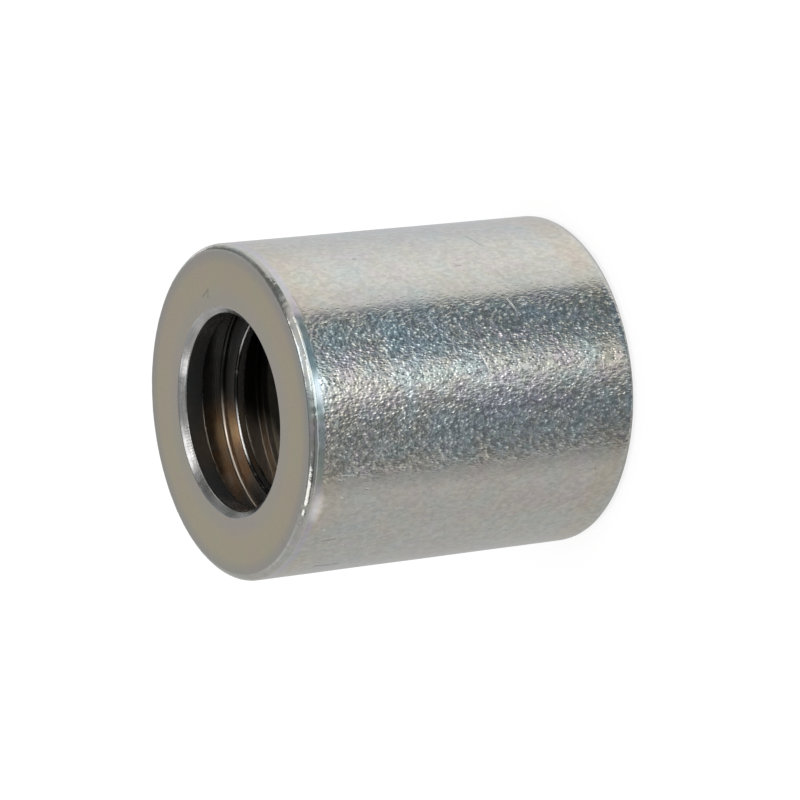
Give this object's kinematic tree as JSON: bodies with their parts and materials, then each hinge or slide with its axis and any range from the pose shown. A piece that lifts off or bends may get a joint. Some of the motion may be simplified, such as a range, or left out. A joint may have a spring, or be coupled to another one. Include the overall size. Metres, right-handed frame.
{
  "type": "crimp hose ferrule",
  "caption": "Turned steel crimp ferrule for a hydraulic hose: plain round sleeve with a chamfered stem hole, an inner lock groove and hose-gripping teeth.",
  "frame": {"origin": "centre of the hose end's face, which the ferrule stands on", "axes": "+Z along the ferrule's axis, from the hose end to the front lip; X and Y lie across it"},
  "size_m": [0.029, 0.029, 0.0323],
  "materials": {
    "zinc_plate": "zinc plated and clear passivated, fine grain outside, smooth on the turned faces"
  },
  "bodies": {
    "root": {"ferrule": "zinc_plate"}
  },
  "joints": []
}
